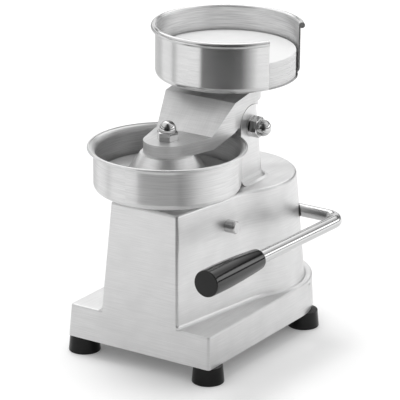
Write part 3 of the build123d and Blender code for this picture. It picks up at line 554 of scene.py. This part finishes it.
def spun(name, outline, place, along=upright, outward=rightward, steps=96, closed=False):
    # one vertex is extruded along the outline of (radius, height) corners, then spun round the axis
    points = [place + outward * r + along * h for r, h in outline]
    if closed:
        points.append(points[0])
    bpy.ops.object.select_all(action="DESELECT")
    bpy.ops.mesh.primitive_plane_add(size=0.001, location=(0, 0, 0))
    piece = bpy.context.object
    piece.name = piece.data.name = name
    bpy.ops.object.mode_set(mode="EDIT")
    bpy.ops.mesh.merge(type="CENTER")
    bpy.ops.transform.translate(value=points[0])
    for a, b in zip(points, points[1:]):
        bpy.ops.mesh.extrude_region_move(TRANSFORM_OT_translate={"value": b - a})
    bpy.ops.mesh.select_all(action="SELECT")
    bpy.ops.mesh.remove_doubles(threshold=weld)
    bpy.ops.mesh.spin(steps=steps, angle=math.radians(360), center=place, axis=along)
    bpy.ops.mesh.select_all(action="SELECT")
    bpy.ops.mesh.remove_doubles(threshold=weld)
    bpy.ops.mesh.normals_make_consistent(inside=False)
    bpy.ops.object.mode_set(mode="OBJECT")
    return piece


def smooth(piece, degrees=32.0):
    # edges that turn by more than these degrees stay sharp
    only(piece)
    bpy.ops.object.shade_smooth_by_angle(angle=math.radians(degrees))
    return applied(piece, "WEIGHTED_NORMAL", keep_sharp=True)


def twin(piece, name, shift=(0, 0, 0)):
    only(piece)
    bpy.ops.object.duplicate()
    made = bpy.context.object
    made.name = made.data.name = name
    return edited(made, (bpy.ops.transform.translate, {"value": shift}))


def middleOf(node):
    low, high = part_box(node)
    return (low + high) / 2


def cutWith(piece, cutter):
    applied(piece, "BOOLEAN", operation="DIFFERENCE", solver="EXACT", object=cutter)
    bpy.data.objects.remove(cutter)
    return piece


def bellOutline(size):
    # half section of the lower bowl: flat floor, round corner, upright wall, bell mouth and thin lip
    radius, wall, corner = size["radius"], size["wall"], size["corner"]
    low, rim, lip, bell = size["floor"], size["rim"], size["lip"], size["bell"]
    cornerCentre = (radius - corner, low + corner)
    bellCentre = (radius - wall / 2 + bell, rim - lip - bell)
    lipCentre = (bellCentre[0], rim - lip)
    outside = arc(cornerCentre, corner, -90, 0, size["cornerSteps"])
    outside += arc(bellCentre, bell - wall / 2, 180, 90 + size["tuck"], size["outerSteps"])
    outside += arc(lipCentre, lip, -90, size["lipEnd"], size["lipSteps"])
    inside = arc(bellCentre, bell + wall / 2, size["mouthFrom"], 180, size["mouthSteps"])
    return outside + inside + arc(cornerCentre, corner - wall, 0, -90, size["cornerSteps"])


def beadOutline(size):
    # the upper bowl's wall runs straight up into a rolled bead that stands proud outside
    radius, wall, corner, bead = size["radius"], size["wall"], size["corner"], size["bead"]
    cornerCentre = (radius - corner, size["floor"] + corner)
    beadCentre = (radius - wall + bead, size["rim"] - bead)
    wallMeets = -math.degrees(math.acos((wall - bead) / bead))
    outside = arc(cornerCentre, corner, -90, 0, size["cornerSteps"])
    roll = arc(beadCentre, bead, wallMeets, 180, size["beadSteps"])
    return outside + roll + arc(cornerCentre, corner - wall, 0, -90, size["cornerSteps"])


def countersink(piece, axis, size):
    # holes whose 45 degree sides take the flush screws in the floor
    for number in range(size["screws"]):
        turned = math.radians(90 + 360 * number / size["screws"])
        middle = size["floor"] + size["wall"] + (size["holeOver"] - size["holeDepth"]) / 2
        bpy.ops.object.select_all(action="DESELECT")
        bpy.ops.mesh.primitive_cone_add(
            vertices=size["holeSides"], radius1=size["screwHead"] - size["holeDepth"],
            radius2=size["screwHead"] + size["holeOver"], depth=size["holeDepth"] + size["holeOver"],
            location=(axis.x + size["screwCircle"] * math.cos(turned),
                      axis.y + size["screwCircle"] * math.sin(turned), middle))
        cutWith(piece, bpy.context.object)
    return piece


def wedge(size, place, low, high):
    # the sector between two upright planes that meet the wall at both ends of the cut
    bpy.ops.object.select_all(action="DESELECT")
    bpy.ops.mesh.primitive_cube_add(size=1.0, location=(0, 0, 0))
    cutter = bpy.context.object
    across = 2 * size["cutReach"]
    steps = [(bpy.ops.transform.resize, {"value": (across, across, high - low)}),
             (bpy.ops.transform.translate, {"value": (place.x, place.y, (low + high) / 2)})]
    for degrees, skew, side in ((size["cutTo"], 0, 1), (size["cutFrom"], size["cutSkew"], -1)):
        point = place + Matrix.Rotation(math.radians(degrees), 3, "Z") @ rightward * size["radius"]
        normal = Matrix.Rotation(math.radians(degrees + skew + 90), 3, "Z") @ rightward * side
        steps.append((bpy.ops.mesh.bisect,
                      {"plane_co": point, "plane_no": normal, "use_fill": True, "clear_outer": True}))
    return edited(cutter, *steps, (bpy.ops.mesh.normals_make_consistent, {"inside": False}))


bowl = {"radius": 0.067, "wall": 0.0015, "corner": 0.006, "cornerSteps": 8, "steps": 160,
        "screws": 3, "screwHead": 0.0051, "holeDepth": 0.0020, "holeOver": 0.0005, "holeSides": 48}
lowerBowl = {**bowl, "floor": 0.1613, "rim": 0.2014, "stemHole": 0.006, "screwCircle": 0.022,
             "bell": 0.0050, "tuck": 12, "outerSteps": 6, "mouthFrom": 98, "mouthSteps": 8,
             "lip": 0.00145, "lipEnd": 110, "lipSteps": 14}
lowerAxis = Vector((*axisOf("lower_bowl"), 0))
lowerOutline = [(lowerBowl["stemHole"], lowerBowl["floor"])] + bellOutline(lowerBowl)
lowerOutline += [(lowerBowl["stemHole"], lowerBowl["floor"] + lowerBowl["wall"])]
piece = spun("lowerBowl", lowerOutline, lowerAxis, steps=lowerBowl["steps"], closed=True)
dress(smooth(countersink(piece, lowerAxis, lowerBowl)), "lower_bowl", materials["brushed_stainless"])

upperBowl = {**bowl, "floor": 0.2438, "rim": 0.2928, "bead": 0.0028, "beadSteps": 24, "screwCircle": 0.015,
             "cutFrom": -23.5, "cutTo": 37.0, "cutSkew": -30, "cutReach": 0.12, "cutOver": 0.01}
upperAxis = Vector((*axisOf("paper_stack"), 0))
upperFloor = upperBowl["floor"] + upperBowl["wall"]
upperOutline = [(0, upperBowl["floor"])] + beadOutline(upperBowl) + [(0, upperFloor)]
piece = spun("upperBowl", upperOutline, upperAxis, steps=upperBowl["steps"])
cutWith(piece, wedge(upperBowl, upperAxis, upperFloor, upperBowl["rim"] + upperBowl["cutOver"]))
dress(smooth(countersink(piece, upperAxis, upperBowl)), "paper_bowl", upperSteel)

paperStack = {"radius": 0.0628, "low": 0.2453, "high": 0.2693, "discs": 26, "slack": 0.0003, "gap": 0.0001,
              "waves": (2.4, 1.3)}
discHigh = (paperStack["high"] - paperStack["low"]) / paperStack["discs"]
stackOutline = [(0, paperStack["low"])]
for disc in range(paperStack["discs"]):
    # no two discs end at quite the same radius
    uneven = math.sin(paperStack["waves"][0] * disc) * math.cos(paperStack["waves"][1] * disc)
    reach = paperStack["radius"] + paperStack["slack"] * uneven
    bottom = paperStack["low"] + disc * discHigh
    stackOutline += [(reach - paperStack["slack"], bottom), (reach, bottom + paperStack["gap"]),
                     (reach, bottom + discHigh - paperStack["gap"]),
                     (reach - paperStack["slack"], bottom + discHigh)]
stackOutline.append((0, paperStack["high"]))
dress(smooth(spun("paperStack", stackOutline, upperAxis)), "paper_stack", materials["waxed_paper"])

capNut = {"flats": 0.0085, "sides": 6, "hexHigh": 0.008, "edge": 0.0005, "crown": 0.0007, "dome": 0.0078,
          "collarTop": 0.010, "domeSteps": 14, "bore": 0.00505, "boreDeep": 0.013,
          "plateTurned": 45.5, "hingeTurned": 15}  # degrees that each was tightened to


def domedNut(name, node, seat, along, outward, turned):
    # turned as one round blank, then its six flats are milled
    corner = capNut["flats"] / math.cos(math.pi / capNut["sides"])
    outline = [(0, capNut["boreDeep"]), (capNut["bore"], capNut["boreDeep"]), (capNut["bore"], 0),
               (corner - capNut["edge"], 0), (corner, capNut["edge"]),
               (corner, capNut["hexHigh"] - capNut["crown"]),
               (capNut["dome"] + capNut["edge"], capNut["hexHigh"]), (capNut["dome"], capNut["hexHigh"])]
    outline += arc((0, capNut["collarTop"]), capNut["dome"], 0, 90, capNut["domeSteps"])
    blank = spun(name, outline, seat, along=along, outward=outward)
    steps = []
    for flat in range(capNut["sides"]):
        degrees = 360 * flat / capNut["sides"] + turned
        across = Matrix.Rotation(math.radians(degrees), 3, along) @ outward
        steps.append((bpy.ops.mesh.bisect, {"plane_co": seat + across * capNut["flats"], "plane_no": across,
                                            "use_fill": True, "clear_outer": True}))
    edited(blank, *steps, (bpy.ops.mesh.normals_make_consistent, {"inside": False}))
    dress(smooth(blank), node, materials["bright_nuts"])


plateSeat = middleOf("plate_cap_nut")
plateSeat.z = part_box("plate_cap_nut")[0].z
domedNut("plateCapNut", "plate_cap_nut", plateSeat, upright, rightward, capNut["plateTurned"])
hingeSeat = middleOf("hinge_cap_nut")
hingeSeat.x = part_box("hinge_cap_nut")[0].x
domedNut("hingeCapNut", "hinge_cap_nut", hingeSeat, rightward, upright, capNut["hingeTurned"])

foot = {"lowRadius": 0.0148, "highRadius": 0.0134, "high": 0.0163, "edge": 0.0010, "edgeSteps": 5,
        "topEdge": 0.0004, "topSteps": 3, "bore": 0.0062, "boreDeep": 0.008, "screwHole": 0.00305,
        "steps": 64}
lowEdge = (foot["lowRadius"] - foot["edge"], foot["edge"])
highEdge = (foot["highRadius"] - foot["topEdge"], foot["high"] - foot["topEdge"])
footOutline = [(foot["bore"], 0), *arc(lowEdge, foot["edge"], -90, 0, foot["edgeSteps"]),
               *arc(highEdge, foot["topEdge"], 0, 90, foot["topSteps"]),
               (foot["screwHole"], foot["high"]), (foot["screwHole"], foot["boreDeep"]),
               (foot["bore"], foot["boreDeep"])]
footNames = {"foot_front_left": "footFrontLeft", "foot_front_right": "footFrontRight",
             "foot_rear_left": "footRearLeft", "foot_rear_right": "footRearRight"}
firstFoot = spun("firstFoot", footOutline, Vector((0, 0, 0)), steps=foot["steps"], closed=True)
for node, name in footNames.items():
    piece = twin(firstFoot, name, (*axisOf(node), 0))
    dress(smooth(piece), node, materials["black_rubber"])
bpy.data.objects.remove(firstFoot)

grip = {"fall": 1.8,  # degrees that the bar falls towards the back
        "front": -0.14155, "x": 0.0869, "axisZ": 0.1125, "axisY": 0.089446, "length": 0.0845,
        "bore": 0.00605, "boreDeep": 0.0605,
        # distance from the flat front end and radius there: a slight barrel
        "barrel": [(0.004, 0.0123), (0.014, 0.01244), (0.030, 0.0123), (0.046, 0.01175), (0.062, 0.01095),
                   (0.076, 0.0101)],
        "frontRadius": 0.0121, "frontRound": 0.0008, "frontSteps": 4,
        "rearRadius": 0.0096, "rearRound": 0.0022, "rearSteps": 6}
gripRise = (grip["axisY"] - grip["front"]) * math.tan(math.radians(grip["fall"]))
gripFront = Vector((grip["x"], grip["front"], grip["axisZ"] + gripRise))
gripAlong = Matrix.Rotation(math.radians(-grip["fall"]), 3, "X") @ Vector((0, 1, 0))
frontEdge = (grip["frontRadius"] - grip["frontRound"], grip["frontRound"])
rearEdge = (grip["rearRadius"] - grip["rearRound"], grip["length"] - grip["rearRound"])
gripOutline = [(0, 0), *arc(frontEdge, grip["frontRound"], -90, 0, grip["frontSteps"])]
gripOutline += [(radius, distance) for distance, radius in grip["barrel"]]
gripOutline += arc(rearEdge, grip["rearRound"], 0, 90, grip["rearSteps"])
gripOutline += [(grip["bore"], grip["length"]), (grip["bore"], grip["length"] - grip["boreDeep"]),
                (0, grip["length"] - grip["boreDeep"])]
piece = spun("handleGrip", gripOutline, gripFront, along=gripAlong, outward=rightward)
dress(smooth(piece), "handle_grip", materials["black_grip"])

pressArm = {"merge": 0.00001, "flat": 0.5, "edge": 0.0011, "segments": 3, "sharpFrom": 28, "smoothTo": 40}


def mergedCopy(node, name):
    # the CAD node's own mesh stays as it is: its copy is merged, with flat faces whole again
    piece = twin(nodes[node], name)
    piece.parent = None
    for key in [key for key in piece.keys() if key.startswith("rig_")]:
        del piece[key]
    bpy.ops.mesh.customdata_custom_splitnormals_clear()
    return edited(piece, (bpy.ops.mesh.remove_doubles, {"threshold": pressArm["merge"]}),
                  (bpy.ops.mesh.dissolve_limited, {"angle_limit": math.radians(pressArm["flat"])}))


piece = mergedCopy("press_arm", "pressArm")
applied(piece, "BEVEL", width=pressArm["edge"], segments=pressArm["segments"], limit_method="ANGLE",
        angle_limit=math.radians(pressArm["sharpFrom"]), miter_outer="MITER_ARC")
dress(smooth(piece, pressArm["smoothTo"]), "press_arm", armCasting)

print("finish")
